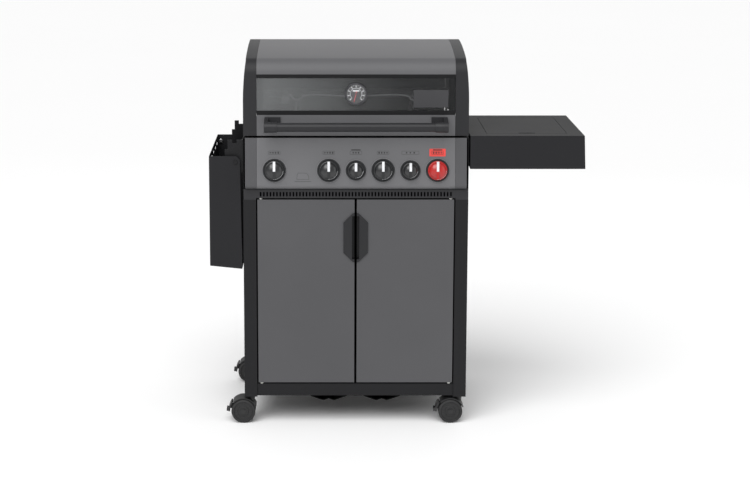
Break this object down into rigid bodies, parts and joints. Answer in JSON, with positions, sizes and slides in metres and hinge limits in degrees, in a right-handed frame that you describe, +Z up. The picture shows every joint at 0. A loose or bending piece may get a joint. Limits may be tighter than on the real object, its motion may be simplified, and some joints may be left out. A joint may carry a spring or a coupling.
{
  "type": "gas barbecue grill",
  "caption": "Gas barbecue on a two-door cabinet cart, with a windowed hood, knob panel, side burner table, folding shelf and swivel casters.",
  "frame": {"origin": "on the floor, under the middle of the cabinet", "axes": "+Z up, -Y the front where the cook stands, +X the cook's right, towards the side table"},
  "size_m": [1.133, 0.5815, 1.154],
  "materials": {
    "dark_sheet": "satin powder coat",
    "grey_sheet": "satin powder coat",
    "panel_sheet": "satin powder coat",
    "black_sheet": "satin enamel",
    "black_plastic": "moulded",
    "gloss_black": "gloss moulded",
    "gloss_red": "gloss moulded",
    "bright_steel": "plain",
    "chrome": "polished",
    "cast_black": "seasoned",
    "window_glass": "clear tint",
    "needle_red": "painted",
    "wheel_rubber": "moulded tread"
  },
  "bodies": {
    "cart": {"base_pan": "dark_sheet", "front_rail": "dark_sheet", "side_panel_left": "dark_sheet", "side_panel_right": "dark_sheet", "rear_panel": "dark_sheet", "base_rails": "dark_sheet", "pivot_pins": "bright_steel", "screws": "bright_steel", "firebox": "black_sheet", "control_panel": "panel_sheet", "panel_ends": "grey_sheet", "vent_strip": "black_sheet", "knob_bezels": "black_plastic", "gas_manifold": "bright_steel", "main_burners": "bright_steel", "turbo_burner": "bright_steel", "flame_tamers": "bright_steel", "cooking_grates": "cast_black", "back_burner": "bright_steel", "warming_rack": "bright_steel", "side_table": "dark_sheet", "side_burner": "cast_black", "table_brackets": "dark_sheet"},
    "hood": {"hood_shell": "grey_sheet", "hood_end_left": "dark_sheet", "hood_end_right": "dark_sheet", "hood_frame": "black_sheet", "hood_glass": "window_glass", "hood_handle": "dark_sheet", "thermometer": "chrome"},
    "needle": {"thermometer_needle": "needle_red"},
    "door_left": {"door_left": "grey_sheet"},
    "door_right": {"door_right": "grey_sheet"},
    "shelf": {"folding_shelf": "dark_sheet"},
    "burner_lid": {"burner_lid": "dark_sheet"},
    "grease_tray": {"grease_tray": "bright_steel"},
    "caster_fl": {"caster_housing_fl": "black_plastic"},
    "wheels_fl": {"caster_wheels_fl": "wheel_rubber"},
    "brake_fl": {"caster_brake_fl": "black_plastic"},
    "caster_fr": {"caster_housing_fr": "black_plastic"},
    "wheels_fr": {"caster_wheels_fr": "wheel_rubber"},
    "brake_fr": {"caster_brake_fr": "black_plastic"},
    "caster_rl": {"caster_housing_rl": "black_plastic"},
    "wheels_rl": {"caster_wheels_rl": "wheel_rubber"},
    "brake_rl": {"caster_brake_rl": "black_plastic"},
    "caster_rr": {"caster_housing_rr": "black_plastic"},
    "wheels_rr": {"caster_wheels_rr": "wheel_rubber"},
    "brake_rr": {"caster_brake_rr": "black_plastic"},
    "stem_1": {"valve_stem_1": "bright_steel"},
    "knob_1": {"knob_1": "gloss_black"},
    "stem_2": {"valve_stem_2": "bright_steel"},
    "knob_2": {"knob_2": "gloss_black"},
    "stem_3": {"valve_stem_3": "bright_steel"},
    "knob_3": {"knob_3": "gloss_black"},
    "stem_4": {"valve_stem_4": "bright_steel"},
    "knob_4": {"knob_4": "gloss_black"},
    "stem_5": {"valve_stem_5": "bright_steel"},
    "knob_5": {"knob_5": "gloss_black"},
    "stem_6": {"valve_stem_6": "bright_steel"},
    "knob_6": {"knob_6": "gloss_red"}
  },
  "joints": [
    {"name": "hood_hinge", "type": "hinge", "parent": "cart", "child": "hood", "pos_m": [0, 0.238, 0.903], "axis": [-1, 0, 0], "range_deg": [0, 85]},
    {"name": "thermometer_needle_turn", "type": "hinge", "parent": "hood", "child": "needle", "pos_m": [0, -0.2552, 1.025], "axis": [0, 1, 0], "range_deg": [0, 300], "stiffness_Nm_per_rad": 0.0002},
    {"name": "door_left_hinge", "type": "hinge", "parent": "cart", "child": "door_left", "pos_m": [-0.287, -0.241, 0.417], "axis": [0, 0, 1], "range_deg": [-110, 0]},
    {"name": "door_right_hinge", "type": "hinge", "parent": "cart", "child": "door_right", "pos_m": [0.287, -0.241, 0.417], "axis": [0, 0, 1], "range_deg": [0, 110]},
    {"name": "shelf_fold", "type": "hinge", "parent": "cart", "child": "shelf", "pos_m": [-0.362, -0.03, 0.818], "axis": [0, 1, 0], "range_deg": [0, 90]},
    {"name": "burner_lid_hinge", "type": "hinge", "parent": "cart", "child": "burner_lid", "pos_m": [0.5176, 0.125, 0.892], "axis": [-1, 0, 0], "range_deg": [0, 95]},
    {"name": "grease_tray_slide", "type": "slide", "parent": "cart", "child": "grease_tray", "axis": [0, 1, 0], "range_m": [0, 0.3]},
    {"name": "caster_fl_swivel", "type": "hinge", "parent": "cart", "child": "caster_fl", "pos_m": [-0.3194, -0.22, 0.06], "axis": [0, 0, 1], "continuous": true},
    {"name": "caster_fl_roll", "type": "hinge", "parent": "caster_fl", "child": "wheels_fl", "pos_m": [-0.3451, -0.22, 0.0375], "axis": [0, 1, 0], "continuous": true},
    {"name": "caster_fl_brake", "type": "hinge", "parent": "caster_fl", "child": "brake_fl", "pos_m": [-0.3451, -0.22, 0.0375], "axis": [0, -1, 0], "range_deg": [0, 14]},
    {"name": "caster_fr_swivel", "type": "hinge", "parent": "cart", "child": "caster_fr", "pos_m": [0.3194, -0.22, 0.06], "axis": [0, 0, 1], "continuous": true},
    {"name": "caster_fr_roll", "type": "hinge", "parent": "caster_fr", "child": "wheels_fr", "pos_m": [0.2937, -0.22, 0.0375], "axis": [0, 1, 0], "continuous": true},
    {"name": "caster_fr_brake", "type": "hinge", "parent": "caster_fr", "child": "brake_fr", "pos_m": [0.2937, -0.22, 0.0375], "axis": [0, -1, 0], "range_deg": [0, 14]},
    {"name": "caster_rl_swivel", "type": "hinge", "parent": "cart", "child": "caster_rl", "pos_m": [-0.3194, 0.22, 0.06], "axis": [0, 0, 1], "continuous": true},
    {"name": "caster_rl_roll", "type": "hinge", "parent": "caster_rl", "child": "wheels_rl", "pos_m": [-0.3451, 0.22, 0.0375], "axis": [0, 1, 0], "continuous": true},
    {"name": "caster_rl_brake", "type": "hinge", "parent": "caster_rl", "child": "brake_rl", "pos_m": [-0.3451, 0.22, 0.0375], "axis": [0, -1, 0], "range_deg": [0, 14]},
    {"name": "caster_rr_swivel", "type": "hinge", "parent": "cart", "child": "caster_rr", "pos_m": [0.3194, 0.22, 0.06], "axis": [0, 0, 1], "continuous": true},
    {"name": "caster_rr_roll", "type": "hinge", "parent": "caster_rr", "child": "wheels_rr", "pos_m": [0.2937, 0.22, 0.0375], "axis": [0, 1, 0], "continuous": true},
    {"name": "caster_rr_brake", "type": "hinge", "parent": "caster_rr", "child": "brake_rr", "pos_m": [0.2937, 0.22, 0.0375], "axis": [0, -1, 0], "range_deg": [0, 14]},
    {"name": "knob_1_turn", "type": "hinge", "parent": "cart", "child": "stem_1", "pos_m": [-0.245, -0.26219, 0.79503], "axis": [0, -0.9945, 0.1045], "range_deg": [-5, 200]},
    {"name": "knob_1_push", "type": "slide", "parent": "stem_1", "child": "knob_1", "axis": [0, 0.9945, -0.1045], "range_m": [0, 0.003], "stiffness_N_per_m": 1500, "springref_m": -0.001},
    {"name": "knob_2_turn", "type": "hinge", "parent": "cart", "child": "stem_2", "pos_m": [-0.0815, -0.26219, 0.79503], "axis": [0, -0.9945, 0.1045], "range_deg": [-5, 200]},
    {"name": "knob_2_push", "type": "slide", "parent": "stem_2", "child": "knob_2", "axis": [0, 0.9945, -0.1045], "range_m": [0, 0.003], "stiffness_N_per_m": 1500, "springref_m": -0.001},
    {"name": "knob_3_turn", "type": "hinge", "parent": "cart", "child": "stem_3", "pos_m": [0, -0.26219, 0.79503], "axis": [0, -0.9945, 0.1045], "range_deg": [-5, 200]},
    {"name": "knob_3_push", "type": "slide", "parent": "stem_3", "child": "knob_3", "axis": [0, 0.9945, -0.1045], "range_m": [0, 0.003], "stiffness_N_per_m": 1500, "springref_m": -0.001},
    {"name": "knob_4_turn", "type": "hinge", "parent": "cart", "child": "stem_4", "pos_m": [0.0815, -0.26219, 0.79503], "axis": [0, -0.9945, 0.1045], "range_deg": [-5, 200]},
    {"name": "knob_4_push", "type": "slide", "parent": "stem_4", "child": "knob_4", "axis": [0, 0.9945, -0.1045], "range_m": [0, 0.003], "stiffness_N_per_m": 1500, "springref_m": -0.001},
    {"name": "knob_5_turn", "type": "hinge", "parent": "cart", "child": "stem_5", "pos_m": [0.1635, -0.26219, 0.79503], "axis": [0, -0.9945, 0.1045], "range_deg": [-5, 200]},
    {"name": "knob_5_push", "type": "slide", "parent": "stem_5", "child": "knob_5", "axis": [0, 0.9945, -0.1045], "range_m": [0, 0.003], "stiffness_N_per_m": 1500, "springref_m": -0.001},
    {"name": "knob_6_turn", "type": "hinge", "parent": "cart", "child": "stem_6", "pos_m": [0.245, -0.26219, 0.79503], "axis": [0, -0.9945, 0.1045], "range_deg": [-5, 200]},
    {"name": "knob_6_push", "type": "slide", "parent": "stem_6", "child": "knob_6", "axis": [0, 0.9945, -0.1045], "range_m": [0, 0.003], "stiffness_N_per_m": 1500, "springref_m": -0.001}
  ]
}
